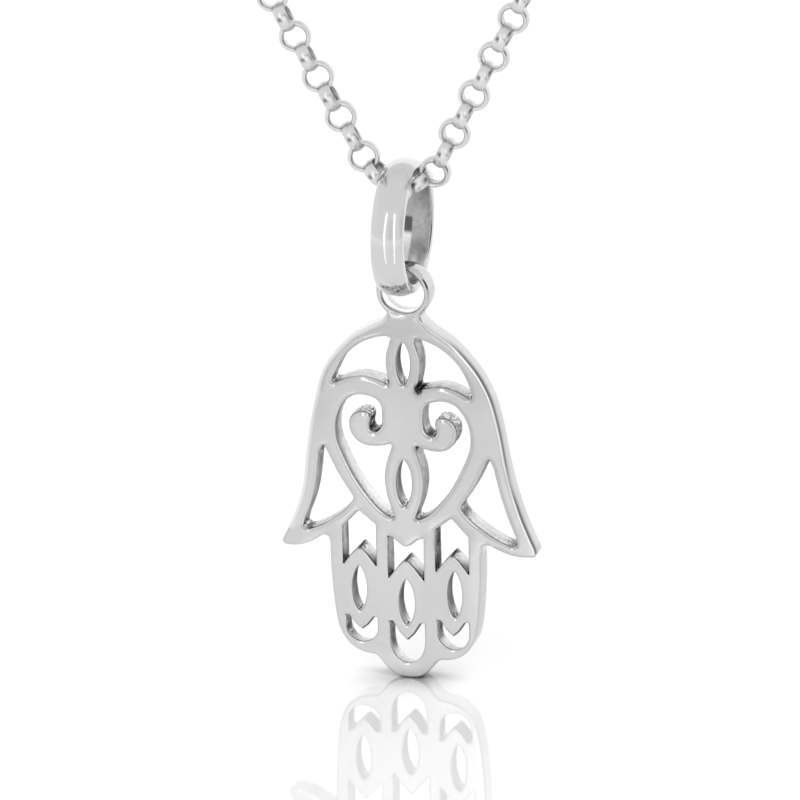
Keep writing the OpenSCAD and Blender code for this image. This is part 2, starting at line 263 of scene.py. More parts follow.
def gate(g, side):
    c, w = g[0], g[1]
    sill = g[5] * 0.45 + g[6] * 0.55
    return np.array([[side * (c + w), g[2]], [side * c, g[4]], [side * (c - w), g[3]], [side * (c - w), g[5]],
                     [side * (c - w * 0.52), sill], [side * c, g[6]], [side * (c + w * 0.52), sill], [side * (c + w), g[5]]])


def mid_gate(g):
    w = g[1]
    sill = g[5] * 0.45 + g[6] * 0.55
    return np.array([[w, g[2]], [w * 0.72, g[2] - 0.08], [w * 0.4, (g[2] + g[4]) / 2 - 0.1], [w * 0.12, g[4]],
                     [-w * 0.12, g[4]], [-w * 0.4, (g[2] + g[4]) / 2 - 0.1], [-w * 0.72, g[2] - 0.08], [-w, g[2]],
                     [-w, g[5]], [-w * 0.52, sill], [0, g[6]], [w * 0.52, sill], [w, g[5]]])


def crescent(q, n=24):
    c, w, horn, dip, low = q
    belt = low + (horn - low) * 0.55
    rows = [[c + w, horn]]
    rows += [[c + w * math.cos(math.pi * i / n), belt - (belt - low) * math.sin(math.pi * i / n)] for i in range(n + 1)]
    rows += [[c - w, horn], [c - w * 0.84, horn + 0.02], [c - w * 0.42, dip + (horn - dip) * 0.38], [c, dip],
             [c + w * 0.42, dip + (horn - dip) * 0.38], [c + w * 0.84, horn + 0.02]]
    return np.array(rows)


def circle(c, r, n=96):
    return np.array([[c[0] + r * math.cos(2 * math.pi * i / n), c[1] + r * math.sin(2 * math.pi * i / n)] for i in range(n)])


def plate_loops():
    """Closed outlines of the plate, [name, points, softening]; the first is the outer one."""
    shift = np.array([PLATE_DX, 0])
    loops = [["outer", outline() + shift, 0.07]]
    for side in (-1, 1):
        loops.append(["crown", crown_hole(side) + shift, 0.05])
        loops.append(["heart", heart_hole(side) + shift, 0.05])
        loops.append(["window", window_hole(side) + shift, 0.05])
        loops.append(["gate", gate(SIDE_GATE, side) + shift, 0.045])
    loops.append(["gate", mid_gate(MID_GATE) + shift, 0.045])
    for a in ALMONDS:
        loops.append(["almond", almond(*a) + shift, 0.05])
    loops.append(["almond", almond(*PETAL_HOLE) + shift + np.array([PETAL_DX, 0]), 0.05])
    for q in CRESCENTS:
        loops.append(["crescent", crescent(q) + shift, 0.05])
    loops.append(["eye", circle((0, LOOP_Z), LOOP_R), 0.0])
    return loops


# ---------------------------------------------------------------- materials
def new_material(name):
    m = bpy.data.materials.new(name)
    m.use_nodes = True
    nt = m.node_tree
    nt.nodes.clear()
    out = nt.nodes.new("ShaderNodeOutputMaterial")
    bsdf = nt.nodes.new("ShaderNodeBsdfPrincipled")
    nt.links.new(bsdf.outputs[0], out.inputs[0])
    return m, nt, bsdf


def node(nt, kind, **values):
    n = nt.nodes.new(kind)
    for k, v in values.items():
        if hasattr(n, k):
            setattr(n, k, v)
        else:
            n.inputs[k].default_value = v
    return n


def noise_node(nt, scale, detail=3.0, rough=0.55):
    co = node(nt, "ShaderNodeTexCoord")
    n = node(nt, "ShaderNodeTexNoise")
    n.inputs["Scale"].default_value = scale
    n.inputs["Detail"].default_value = detail
    n.inputs["Roughness"].default_value = rough
    nt.links.new(co.outputs["Object"], n.inputs["Vector"])
    return n


def ramp_node(nt, source, stops):
    r = node(nt, "ShaderNodeValToRGB")
    els = r.color_ramp.elements
    while len(els) < len(stops):
        els.new(0.5)
    for e, (p, v) in zip(els, stops):
        e.position = p
        c = v if isinstance(v, tuple) else (v, v, v)
        e.color = (*c, 1)
    nt.links.new(source, r.inputs["Fac"])
    return r


def math_node(nt, op, a, b=None, clamp=False):
    n = node(nt, "ShaderNodeMath", operation=op)
    n.use_clamp = clamp
    for i, v in enumerate((a, b)):
        if v is None:
            continue
        if isinstance(v, (int, float)):
            n.inputs[i].default_value = v
        else:
            nt.links.new(v, n.inputs[i])
    return n.outputs[0]


def painted_light_mix(nt, colour):
    """Painted lighter, painted highlights and painted light, where the point attribute says so."""
    at = node(nt, "ShaderNodeAttribute")
    at.attribute_name = "painted_light"
    lit = node(nt, "ShaderNodeMixRGB", blend_type="MIX")
    lit.inputs[2].default_value = (0.98, 0.98, 0.98, 1)
    nt.links.new(colour, lit.inputs[1])
    nt.links.new(at.outputs["Fac"], lit.inputs[0])
    return lit.outputs[0]


def polished(name, tone, rough_low, rough_high, bump=0.02, scale=2600.0, shaded=False):
    """Bright plated silver: soft cloudy polish, very fine wheel marks."""
    m, nt, bsdf = new_material(name)
    bsdf.inputs["Metallic"].default_value = 1.0
    cloud = noise_node(nt, 320.0, 3.0)
    tint = ramp_node(nt, cloud.outputs[0], [(0.3, tuple(c * 0.975 for c in tone)), (0.7, tone)])
    colour = tint.outputs[0]
    # with shaded, point attributes mix in painted light and painted shade
    if shaded:
        colour = painted_light_mix(nt, colour)
        at = node(nt, "ShaderNodeAttribute")
        at.attribute_name = "shade"
        dark = node(nt, "ShaderNodeMixRGB", blend_type="MIX")
        dark.inputs[2].default_value = (0.03, 0.03, 0.032, 1)
        nt.links.new(colour, dark.inputs[1])
        nt.links.new(at.outputs["Fac"], dark.inputs[0])
        colour = dark.outputs[0]
    nt.links.new(colour, bsdf.inputs["Base Color"])
    fine = noise_node(nt, scale, 2.0)
    r = math_node(nt, "MULTIPLY", fine.outputs[0], rough_high - rough_low)
    r = math_node(nt, "ADD", r, rough_low)
    nt.links.new(r, bsdf.inputs["Roughness"])
    b = node(nt, "ShaderNodeBump")
    b.inputs["Strength"].default_value = bump
    b.inputs["Distance"].default_value = 0.00002
    nt.links.new(fine.outputs[0], b.inputs["Height"])
    nt.links.new(b.outputs[0], bsdf.inputs["Normal"])
    return m


def cast_wall(name, tones=(0.3, 0.42, 0.62), dark_tone=0.03, chip_tones=(0.04, 0.35, 0.95)):
    """Walls of the pierced holes: cast skin with grain; painted shade makes them darker in the corners and on walls
    that look sideways, painted light makes them lighter where they look up, and the nook attribute puts speckled chips
    in the corners.
    """
    m, nt, bsdf = new_material(name)
    bsdf.inputs["Metallic"].default_value = 1.0
    grain = noise_node(nt, 4200.0, 4.0, 0.7)
    patch = noise_node(nt, 1100.0, 2.0)
    at = node(nt, "ShaderNodeAttribute")
    at.attribute_name = "shade"
    base = ramp_node(nt, grain.outputs[0], [(0.32, tones[0]), (0.5, tones[1]), (0.72, tones[2])])
    soft = ramp_node(nt, patch.outputs[0], [(0.35, 0.72), (0.65, 1.0)])
    mix = node(nt, "ShaderNodeMixRGB", blend_type="MULTIPLY")
    mix.inputs[0].default_value = 1.0
    nt.links.new(base.outputs[0], mix.inputs[1])
    nt.links.new(soft.outputs[0], mix.inputs[2])
    dark = node(nt, "ShaderNodeMixRGB", blend_type="MIX")
    dark.inputs[2].default_value = (dark_tone, dark_tone, dark_tone, 1)
    nt.links.new(painted_light_mix(nt, mix.outputs[0]), dark.inputs[1])
    nt.links.new(at.outputs["Fac"], dark.inputs[0])
    nook = node(nt, "ShaderNodeAttribute")
    nook.attribute_name = "nook"
    chips = noise_node(nt, 6500.0, 1.0)
    chip = ramp_node(nt, chips.outputs[0], [(0.42, chip_tones[0]), (0.5, chip_tones[1]), (0.58, chip_tones[2])])
    spot = node(nt, "ShaderNodeMixRGB", blend_type="MIX")
    nt.links.new(nook.outputs["Fac"], spot.inputs[0])
    nt.links.new(dark.outputs[0], spot.inputs[1])
    nt.links.new(chip.outputs[0], spot.inputs[2])
    nt.links.new(spot.outputs[0], bsdf.inputs["Base Color"])
    nt.links.new(spot.outputs[0], bsdf.inputs["Specular Tint"])
    rr = ramp_node(nt, patch.outputs[0], [(0.3, 0.26), (0.7, 0.4)])
    nt.links.new(rr.outputs[0], bsdf.inputs["Roughness"])
    b = node(nt, "ShaderNodeBump")
    b.inputs["Strength"].default_value = 0.5
    b.inputs["Distance"].default_value = 0.00004
    nt.links.new(grain.outputs[0], b.inputs["Height"])
    nt.links.new(b.outputs[0], bsdf.inputs["Normal"])
    return m


# the same silver is given a darker base on the plate's face and a lighter one on the links: painted shade and painted
# light that match how bright each part looks
SILVER = (0.67, 0.67, 0.67)
mat_face = polished("pendant_polish", (0.605, 0.605, 0.605), 0.09, 0.15, shaded=True)
mat_wall = cast_wall("pendant_cast_wall", (0.6, 0.78, 0.92), 0.035)
mat_bail = polished("bail_polish", SILVER, 0.08, 0.13)
# inside the bail the chip tones are all light, so its nook attribute lays a painted light patch
mat_bail_in = cast_wall("bail_inside", (0.42, 0.48, 0.57), 0.05, (0.8, 0.84, 0.88))
mat_link = polished("link_polish", (0.72, 0.72, 0.72), 0.24, 0.34, shaded=True)
mat_clasp = polished("clasp_polish", SILVER, 0.1, 0.18)


# ---------------------------------------------------------------- the pierced plate
ROUND_W, ROUND_D = 0.32, 0.17      # width and depth of the softened edge
LOOP_ROUND_W, LOOP_ROUND_D = 0.26, 0.55   # the same on the cast loop


def loop_share(p):
    """1 on the cast loop, 0 on the plate, soft between them at the neck."""
    t = np.clip((p[:, 1] - 25.6) / 0.7, 0, 1)
    return t * t * (3 - 2 * t)


def edge_size(p):
    """Width and depth of the softened edge at plate points: narrow on the fingers, wider up the hand, round on the loop."""
    share = loop_share(p)
    t = np.clip((p[:, 1] - 8.0) / 5.0, 0, 1)
    t = t * t * (3 - 2 * t)
    w = 0.15 + (ROUND_W - 0.15) * t
    h = 0.11 + (ROUND_D - 0.11) * t
    return w + (LOOP_ROUND_W - w) * share, h + (LOOP_ROUND_D - h) * share


def painted_spot_dark(p, size):
    """How dark the painted dark spots (painted shade) make each plate point, with their radii scaled by size."""
    dark = np.zeros(len(p))
    for rx, rz, rr, rs in PAINTED_DARK_SPOTS:
        q = ((p[:, 0] - rx) ** 2 + (p[:, 1] - rz) ** 2) / (rr * size) ** 2
        dark = np.maximum(dark, rs * np.exp(-q * q))
    return dark


def smooth01(v, low, high):
    t = np.clip((v - low) / (high - low), 0, 1)
    return t * t * (3 - 2 * t)


def edge_profile(d, w, h):
    """Depth below the face at a distance from the edge, and the slope there."""
    x = np.clip(d / w, 0, 1)
    root = np.sqrt(np.maximum(0, 1 - (1 - x) ** 2))
    depth = h * (1 - root)
    # unit normal of the elliptic quarter: out of the face (f) and towards the edge (e)
    e = (1 - x) / w
    f = root / h
    n = np.sqrt(e * e + f * f)
    return depth, e / n, f / n


def build_plate():
    step = 0.075
    loops = []
    for name, p, sigma in plate_loops():
        q = soften(p, sigma, step) if sigma else resample_closed(p, step)
        want = 1 if name == "outer" else -1      # metal on the left-hand side
        if np.sign(area2(q)) != want:
            q = q[::-1]
        loops.append((name, q))
    # points on the outlines, and the dense set that distances are taken from
    edge_pts = np.vstack([q for _, q in loops])
    dense = np.vstack([resample_closed(q, 0.015) for _, q in loops])
    tree = kdtree.KDTree(len(dense))
    for i, p in enumerate(dense):
        tree.insert((p[0], p[1], 0), i)
    tree.balance()

    def nearest(points):
        res = np.array([tree.find((x, y, 0))[1:] for x, y in points], float)
        return res[:, 0].astype(int), res[:, 1]

    starts, count = [], 0
    tang, inward = [], []
    for _, q in loops:
        starts.append(count)
        count += len(q)
        t = unit_rows(np.roll(q, -1, 0) - np.roll(q, 1, 0))
        tang.append(t)
        inward.append(np.column_stack([-t[:, 1], t[:, 0]]))
    inward = np.vstack(inward)
    # the almond holes open a little towards the back, most at their lower end
    draft, dense_in, dense_draft, dense_outer = [], [], [], []
    for (name, q), s in zip(loops, starts):
        inn = inward[s:s + len(q)]
        d = np.zeros_like(inn)
        if name in ("almond", "crescent"):
            d = inn * 0.08 + np.column_stack([np.zeros(len(q)), -0.28 * np.clip(-inn[:, 1], 0, 1)])
        draft.append(d)
        m = len(resample_closed(q, 0.015))
        pick = np.round(np.arange(m) * len(q) / m).astype(int) % len(q)
        dense_in.append(inn[pick])
        dense_draft.append(d[pick])
        dense_outer.append(np.full(m, {"outer": 1, "eye": 2}.get(name, 0)))
    dense_in, dense_draft, dense_outer = np.vstack(dense_in), np.vstack(dense_draft), np.concatenate(dense_outer)

    def inside(points):
        """Even-odd test against all the outlines."""
        x, y = points[:, 0], points[:, 1]
        hit = np.zeros(len(points), bool)
        for _, q in loops:
            a, b = q, np.roll(q, -1, 0)
            box = (y > q[:, 1].min()) & (y < q[:, 1].max())
            idx = np.nonzero(box)[0]
            for s in range(0, len(idx), 4000):
                k = idx[s:s + 4000]
                yy, xx = y[k][:, None], x[k][:, None]
                cond = (a[None, :, 1] > yy) != (b[None, :, 1] > yy)
                dy = b[:, 1] - a[:, 1]
                dy = np.where(np.abs(dy) < 1e-12, 1e-12, dy)
                xi = a[None, :, 0] + (yy - a[None, :, 1]) * (b[:, 0] - a[:, 0])[None, :] / dy[None, :]
                hit[k] ^= (np.sum(cond & (xx < xi), axis=1) % 2).astype(bool)
        return hit

    extra = []
    edge_w, edge_h = edge_size(edge_pts)
    for k, phi in enumerate((26, 46, 66, 90)):
        d = edge_w * (1 - math.cos(math.radians(phi)))
        p = edge_pts + inward * d[:, None]
        sel = np.arange(len(p)) % (2 if k in (0, 2) else 1) == 0 if k == 0 else np.ones(len(p), bool)
        p, d = p[sel], d[sel]
        _, dist = nearest(p)
        ok = (dist > d * 0.93) & inside(p)
        extra.append(p[ok])
    low, high = edge_pts.min(0), edge_pts.max(0)
    gx = np.arange(low[0], high[0], 0.34)
    gy = np.arange(low[1], high[1], 0.34 * 0.866)
    grid = np.array([[x + (0.17 if j % 2 else 0), y] for j, y in enumerate(gy) for x in gx])
    grid = grid[inside(grid)]
    _, dist = nearest(grid)
    grid = grid[dist > ROUND_W + 0.1]
    extra.append(grid)
    # drop inner points that nearly coincide
    inner = np.vstack(extra)
    cell = 0.022
    seen, keep = set(), []
    for i, (x, y) in enumerate(inner):
        key = (int(round(x / cell)), int(round(y / cell)))
        if key in seen:
            continue
        seen.add(key)
        keep.append(i)
    inner = inner[keep]

    pts = np.vstack([edge_pts, inner])
    edges = []
    for (_, q), s in zip(loops, starts):
        n = len(q)
        edges += [(s + i, s + (i + 1) % n) for i in range(n)]
    res = geometry.delaunay_2d_cdt([Vector((x, y)) for x, y in pts], edges, [], 0, 1e-6, True)
    out_v, out_f, orig = np.array([v[:] for v in res[0]]), res[2], res[3]
    tri = np.array([f for f in out_f if len(f) == 3])
    cen = out_v[tri].mean(1)
    tri = tri[inside(cen)]
    a, b, c = out_v[tri[:, 0]], out_v[tri[:, 1]], out_v[tri[:, 2]]
    turn = (b[:, 0] - a[:, 0]) * (c[:, 1] - a[:, 1]) - (b[:, 1] - a[:, 1]) * (c[:, 0] - a[:, 0])
    tri = tri[np.abs(turn) > 1e-9]
    turn = turn[np.abs(turn) > 1e-9]
    tri[turn < 0] = tri[turn < 0][:, ::-1]
    # which output vertex stands for each outline point
    where = -np.ones(len(pts), int)
    for o, src in enumerate(orig):
        for s in src:
            if where[s] < 0:
                where[s] = o
    used = np.unique(tri)
    idx, dist = nearest(out_v)
    is_edge = np.zeros(len(out_v), bool)
    is_edge[where[:len(edge_pts)]] = True
    dist[is_edge] = 0
    away = out_v - dense[idx]
    away = unit_rows(away)
    edge_in = np.zeros((len(out_v), 2))
    edge_in[where[:len(edge_pts)]] = inward
    away[is_edge] = edge_in[is_edge]
    depth, ne, nf = edge_profile(dist, *edge_size(out_v))

    # plate coordinates (x, height) to the part's frame
    def place(xy, back):
        return np.column_stack([xy[:, 0], FRONT_Y + back, xy[:, 1] + HANG_Z - HANG_H])

    front = place(out_v, depth)
    backv = place(out_v + dense_draft[idx] * np.clip(1 - dist / 0.8, 0, 1)[:, None], PLATE_T - depth)
    nfront = np.column_stack([-away[:, 0] * ne, -nf, -away[:, 1] * ne])
    nback = np.column_stack([-away[:, 0] * ne, nf, -away[:, 1] * ne])
    verts = [front, backv]
    norms = [nfront, nback]
    nv = len(out_v)
    faces = [tuple(t) for t in tri]                      # facing -Y
    mats = [0] * len(tri)
    faces += [tuple(t[::-1] + nv) for t in tri]
    mats += [0] * len(tri)
    # painted shade: the face darker towards the top and the upper left
    up = np.clip((out_v[:, 1] - 18.5) / 6.0, 0, 1)
    tone = 0.21 * up * up * (3 - 2 * up) + 0.05 * np.clip((-out_v[:, 0] - 3.0) / 5.0, 0, 1) * np.clip((out_v[:, 1] - 14.0) / 3.0, 0, 1)
    tone = tone * np.clip(dist / 0.4, 0, 1) * (1 - 0.6 * loop_share(out_v))
    # painted shade: the face a shade darker towards the right-hand side, and on the left by the heart
    fx, fz = out_v[:, 0], out_v[:, 1]
    upper = smooth01(fz, 13.5, 16.0)
    painted_dimming = 15 * smooth01(fx, -4.5, 5.0) * upper * smooth01(-fz, -23.2, -21.3)
    painted_dimming = painted_dimming + 9 * smooth01(fx, -0.5, 2.5) * (1 - upper) * (0.5 + 0.5 * smooth01(fz, 3.0, 6.0)) * np.where(fz < 9.3, 1 - smooth01(fx, 3.7, 4.6), 1.0)
    painted_dimming = painted_dimming + 8 * np.exp(-((fz - 18.6) / 1.2) ** 2) * smooth01(-fx, 4.6, 6.0)
    tone = tone + 0.0105 * painted_dimming * np.clip(dist / 0.15, 0, 1)
    # which way the nearest edge looks, and the painted dark lines and painted highlights beside it, which stand in for
    # reflections in the softened edge
    ex, ez = -dense_in[idx][:, 0], -dense_in[idx][:, 1]
    kind = dense_outer[idx]
    high = out_v[:, 1]
    uneven = 0.75 + 0.25 * np.sin(9 * out_v[:, 0] + 3) * np.sin(11 * high + 1)
    right = (kind == 1) * np.clip(ex * 3.0 - 1.3, 0, 1) * np.clip(ez * 3.0 + 0.9, 0, 1) * (high > 9.3) * smooth01(-high, -25.6, -23.2)
    right = right * (1 - 0.6 * np.exp(-((high - 14.6) / 1.1) ** 2))
    left = (kind == 1) * smooth01(-ex, 0.1, 0.5) * (high > 10) * smooth01(-high, -25.9, -25.0)
    top = (kind == 1) * smooth01(ez, 0.25, 0.5) * smooth01(-ex, -0.6, -0.3) * (high > 18) * smooth01(-high, -25.9, -25.0)
    sill = (kind == 0) * smooth01(ez, 0.2, 0.6)
    flank = (kind == 0) * smooth01(ex, 0.6, 0.9)
    ring = (kind == 2) * 1.0
    edge = dist < 0.012
    shade_f = np.maximum(tone, edge * (0.95 * right + 0.6 * sill * uneven * np.where((high > 19) & (out_v[:, 0] < 0), 0.12, 1.0) + 0.3 * flank ))
    shade_f = np.maximum(shade_f, 0.26 * np.maximum(top, left * (high > 20)) * np.exp(-((dist - 0.34) / 0.08) ** 2))
    # painted shade: a black spot where the petal meets the right shoulder, dark spots at the gate peaks, and a dark
    # stroke along the right flank of each crescent dip
    face_dark_spot = np.exp(-(((out_v[:, 0] - 0.95) / 0.3) ** 2 + ((high - 20.74) / 0.4) ** 2) ** 2)
    face_dark_spot = np.clip(1.5 * face_dark_spot, 0, 1)
    for px, pz in ((-3.4, 9.04), (-0.18, 8.42), (3.04, 9.04)):
        face_dark_spot = np.maximum(face_dark_spot, 0.85 * (dist < 0.14) * np.exp(-(((out_v[:, 0] - px) / 0.17) ** 2 + ((high - pz) / 0.15) ** 2) ** 2))
    dip = (kind == 0) * smooth01(ex, 0.35, 0.6) * smooth01(-ez, 0.2, 0.5) * (high > 2.4) * (high < 4.4) * (dist < 0.1)
    shade_f = np.maximum(shade_f, np.maximum(face_dark_spot, 0.8 * dip))
    # painted shade dims the softened edge round the low corners of the holes, where its highlight would show
    for name, q in loops:
        if name in ("outer", "eye"):
            continue
        t, t2 = unit_rows(np.roll(q, -3, 0) - q), unit_rows(q - np.roll(q, 3, 0))
        bend = -np.arctan2(t2[:, 0] * t[:, 1] - t2[:, 1] * t[:, 0], (t * t2).sum(1))
        peak = (bend > 0.9) & (bend >= np.maximum.reduce([np.roll(bend, d) for d in range(-5, 6)]))
        for c in q[peak]:
            far = np.hypot(out_v[:, 0] - c[0], high - c[1])
            shade_f = np.maximum(shade_f, 0.36 * np.exp(-(far / 0.3) ** 4) * smooth01(ez, 0.1, 0.4) * smooth01(-dist, -0.26, -0.16) * (high > 10))
    # painted shade from the painted dark spots reaches onto the face just beside the hole edges
    rim = np.where(high > 9.5, 0.2, 0.1)
    shade_f = np.maximum(shade_f, 0.3 * (kind == 0) * painted_spot_dark(out_v, 1.2) * smooth01(-dist / rim, -1.0, -0.6))
    # painted highlights: light lines beside the right and upper left edges, the sills and flanks, the eye's rim and its
    # edge, and a lighter patch low on the tip; the back edge of the outline gets painted light too
    painted_light_f = np.clip(1.0 * right * np.exp(-((dist - 0.12) / 0.07) ** 2) + 0.6 * np.maximum(left, top) * smooth01(-dist, -0.3, -0.14)
                      + ring * smooth01(ex + ez, 0.2, 0.8) * (0.25 + 0.7 * np.exp(-(dist / 0.1) ** 2)) * (dist < 0.25)
                      + (0.35 * sill * uneven * (high < 19) + 0.35 * flank) * np.exp(-((dist - 0.05) / 0.04) ** 2), 0, 1) * ~edge
    painted_light_f = np.maximum(painted_light_f, 0.95 * ring * smooth01(ex + ez, 0.2, 0.8) * edge)
    painted_light_f = np.maximum(painted_light_f, 0.22 * smooth01(-high, -2.0, -1.0) * smooth01(-out_v[:, 0], -1.0, 0.0))
    shade = [shade_f, tone]
    painted_light = [painted_light_f, 0.6 * (high < 25.9) * (kind == 1) * smooth01(ex + 0.9 * ez, 0.1, 0.5) * (dist < 0.2)]
    nook = [0.0 * tone, 0.0 * tone]
    base = 2 * nv
    rng = np.random.default_rng(7)
    for (name, q), s in zip(loops, starts):
        n = len(q)
        ids = where[s:s + n]
        h = edge_size(q)[1]
        inn = inward[s:s + n]
        # how sharply the outline turns round each point: high in the corners of a hole
        t = unit_rows(np.roll(q, -3, 0) - q)
        t2 = unit_rows(q - np.roll(q, 3, 0))
        turn = np.arctan2(t2[:, 0] * t[:, 1] - t2[:, 1] * t[:, 0], (t * t2).sum(1))
        sharp = np.clip((-turn - 0.5) / 1.1, 0, 1)
        reach = np.zeros(n)
        for d in range(-5, 6):
            reach = np.maximum(reach, np.roll(sharp, d) * (1 - (abs(d) / 6.0) ** 1.5))
        cast = name not in ("outer", "eye")
        # painted shade on walls that look sideways to the right and on walls that look down and left, painted light on
        # walls that look up, with an amount of painted shade for each kind of hole
        ax, az = -inn[:, 0], -inn[:, 1]          # the way the wall looks
        tilt = np.degrees(np.arctan2(az, ax))
        facing = np.where(ax > 0, 1 - smooth01(tilt, 12, 40), 0)     # looks to the right: dark
        if name == "crescent" and q[:, 0].max() < -1:
            facing = np.where(ax > 0, 1 - smooth01(tilt, 35, 68), 0)
        upward = np.where(az > 0, 1 - facing, 0) * smooth01(az, 0.1, 0.4)
        other = np.where((az <= 0) & (ax <= 0), 0.3, 0.0)
        uneven = 0.75 + 0.25 * np.sin(9 * q[:, 0] + 3) * np.sin(11 * q[:, 1] + 1)
        amount = {"gate": 1.0, "almond": 0.66, "heart": 0.36, "crescent": 0.72, "window": 0.38, "crown": 0.42}.get(name, 0)
        if name == "almond" and q[:, 1].min() > 20:
            amount = 0.74
        if name == "crown" and q[:, 0].mean() < 0:
            amount = 0.18
        if name == "almond":
            reach = np.maximum(reach, 0.9 * smooth01(q[:, 1].min() + 0.45 - q[:, 1], 0.1, 0.35))
        # gates: their own painted shade down the wall, and painted shade on the sills growing towards their low ends
        gates = name == "gate"
        if gates:
            middle = 0.5 * (q[:, 0].min() + q[:, 0].max())
            amount, gate_rows = ((0.7, (0.3, 0.7, 1.0, 1.1, 1.15)) if middle > 1 else
                                 (0.39, (0.9, 0.5, 0.5, 0.9, 1.6)) if middle < -1 else (0.33, (0.9, 0.6, 0.7, 1.0, 1.3)))
            fall = smooth01(q[:, 1].min() + 1.45 - q[:, 1], 0.5, 1.5)
        wall_painted_spots = painted_spot_dark(q, 1.1)
        halo = painted_spot_dark(q, 1.9) * (1 - 0.9 * painted_spot_dark(q, 0.95))
        clear = painted_spot_dark(q, 0.8)
        curl = (name == "heart") * (np.abs(q[:, 0]) > 1.9) * (np.abs(q[:, 0]) < 4.1) * (q[:, 1] > 16.4) * (q[:, 1] < 19.1) * (np.abs(inn[:, 0]) + inn[:, 1] > -2)
        curl = curl * (np.hypot(np.abs(q[:, 0]) - 2.95, q[:, 1] - 17.7) < 1.35)
        rough_skin = 0.4 * curl + 0.12 * upward
        line = np.zeros(n)
        lit = np.zeros(n)
        # the outer wall gets a painted dark line along its right edge and painted light where it looks up and right;
        # the eye's wall gets painted light and painted shade
        if name == "outer":
            line = np.clip(ax * 3.0 - 1.3, 0, 1) * np.clip(az * 3.0 + 0.9, 0, 1) * (q[:, 1] > 9.3) * smooth01(-q[:, 1], -25.6, -23.2)
            line = line * (1 - 0.6 * np.exp(-((q[:, 1] - 14.6) / 1.1) ** 2))
            lit = smooth01(ax + 0.9 * az, 0.1, 0.5) * np.where(q[:, 1] < 9.3, 0.3, 1.0) * np.where(q[:, 1] > 25.9, 0.0, 1.0)
        elif name == "eye":
            line = 0.8 * smooth01(ax + az, 0.3, 0.9)
        ring_ids = [ids]
        rows = (0.04, 0.16, 0.38, 0.62, 0.84)
        for k, f in enumerate(rows):
            back = h + (PLATE_T - 2 * h) * f
            p = q + draft[starts.index(s)] * f
            if cast:
                wob = 0.012 * np.sin(np.arange(n) * 2 * math.pi * rng.integers(3, 9) / n + rng.random() * 6 + k)
                p = p - inn * wob[:, None]
            verts.append(place(p, back))
            norms.append(np.column_stack([-inn[:, 0], np.zeros(n), -inn[:, 1]]))
            if cast:
                # painted shade down the cast walls, deeper towards the back, with the painted dark spots and a painted
                # dark line along the front of walls that look up; painted light on the walls that look up
                deep = np.where((name == "heart") & (q[:, 0] < -3.4), (1.8, 1.2, 0.5, 0.3, 0.15)[k] * (0.7 + 0.4 * uneven), (0.5, 0.7, 0.84, 0.96, 1.0)[k])
                if gates:
                    deep = deep * 0 + gate_rows[k]
                front_line = np.where(q[:, 1] > 19, np.where(q[:, 0] < 0, 0.12, 1.2), 1.0)
                dark = amount * facing * deep + other + upward * uneven * ((0.6, 0.16, 0.16, 0.04, 0.0)[k] * front_line)
                if gates:
                    dark = dark + 0.34 * upward * fall + 0.2 * upward * (k == 0)
                shade.append(np.clip(np.maximum(dark, wall_painted_spots * (0.8 if k == 4 else 1.0)), 0, 1))
                painted_light.append(upward * ((0.0, 1.0, 0.25, 0.4, 0.5) if name == "window" else
                                       (0.1, 0.5, 0.65, 0.8, 0.9) if name == "heart" and q[:, 0].mean() < 0 else (0.1, 0.42, 0.3, 0.4, 0.5))[k])
                nook.append(np.clip((np.maximum(reach, 0.75 * halo) + rough_skin) * (1 - 0.9 * clear), 0, 1))
            elif name == "outer":
                # painted shade: the dark line, the loop and the finger walls; painted light: the lit wall and under the
                # tip
                shade.append(line * (0.95, 0.45, 0.1, 0.07, 0.06)[k] + 0.05 * (q[:, 1] > 25.9) + 0.16 * smooth01(ax, 0.2, 0.6) * (q[:, 1] < 9.3) * (q[:, 1] > 2.3))
                painted_light.append(np.maximum(lit * (0, 0, 0.05, 0.1, 0.14)[k], 0.9 * smooth01(-az, 0.1, 0.5) * smooth01(-q[:, 1], -3.4, -1.0)))
                nook.append(np.zeros(n))
            else:
                # painted shade and painted light on the eye's wall
                shade.append(line * (0.0, 0.0, 0.1, 0.4, 0.1)[k])
                painted_light.append(line * (1.2, 0.9, 0.5, 0.2, 0.6)[k])
                nook.append(np.zeros(n))
            ring_ids.append(base + np.arange(n))
            base += n
        ring_ids.append(ids + nv)
        for r in range(len(rows) + 1):
            a, b = ring_ids[r], ring_ids[r + 1]
            for i in range(n):
                j = (i + 1) % n
                faces.append((a[j], a[i], b[i], b[j]))
                mats.append(1 if cast else 0)
    verts = np.vstack(verts)
    norms = np.vstack(norms)
    shade = np.concatenate(shade)
    painted_light = np.concatenate(painted_light)
    nook = np.concatenate(nook)
    # leave out points that no face uses
    flat = np.unique(np.concatenate([np.asarray(f) for f in faces]))
    new = -np.ones(len(verts), int)
    new[flat] = np.arange(len(flat))
    faces = [tuple(new[list(f)]) for f in faces]
    ob = add_mesh("hamsa_plate", verts[flat], faces, norms[flat], mats, (mat_face, mat_wall))
    point_attribute(ob, "shade", shade[flat])
    point_attribute(ob, "painted_light", painted_light[flat])
    point_attribute(ob, "nook", nook[flat])
    return ob


plate = build_plate()
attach(plate, "pendant")
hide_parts("hamsa")

# ---------------------------------------------------------------- the bail
BAIL_X, BAIL_Z, BAIL_YAW = -0.1, HANG_Z - HANG_H + 32.0, 2.5
BAIL_R, BAIL_IN, BAIL_W = 4.66, 3.75, 2.2


